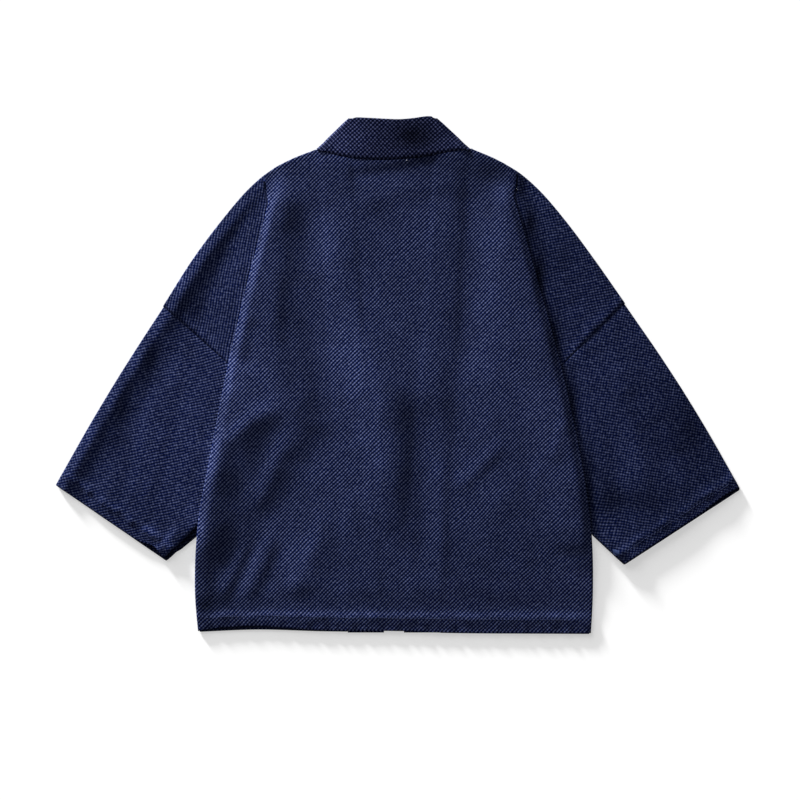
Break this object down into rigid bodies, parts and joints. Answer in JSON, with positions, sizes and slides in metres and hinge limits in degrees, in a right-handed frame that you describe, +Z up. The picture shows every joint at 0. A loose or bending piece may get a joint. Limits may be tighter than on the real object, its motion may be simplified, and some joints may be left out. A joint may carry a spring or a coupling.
{
  "type": "kimono-style jacket laid flat back side up",
  "caption": "Indigo woven cotton kimono jacket lying flat, back up, with dropped shoulders, wide sleeves turned down beside the body and a folded neck band.",
  "frame": {"origin": "centre of the jacket's rectangle on the surface it lies on", "axes": "+X to the right of the jacket as it is seen from above, +Y from the hem to the neck, +Z up off the surface"},
  "size_m": [0.9932, 0.7506, 0.0122],
  "materials": {
    "indigo_cotton": "thick matt cotton, woven in a fine rice stitch, dark indigo",
    "band_cotton": "the same cotton folded double, a little darker"
  },
  "bodies": {
    "root": {"back": "indigo_cotton", "front_left": "indigo_cotton", "front_right": "indigo_cotton", "sleeve_left": "indigo_cotton", "sleeve_right": "indigo_cotton", "collar": "band_cotton"}
  },
  "joints": []
}
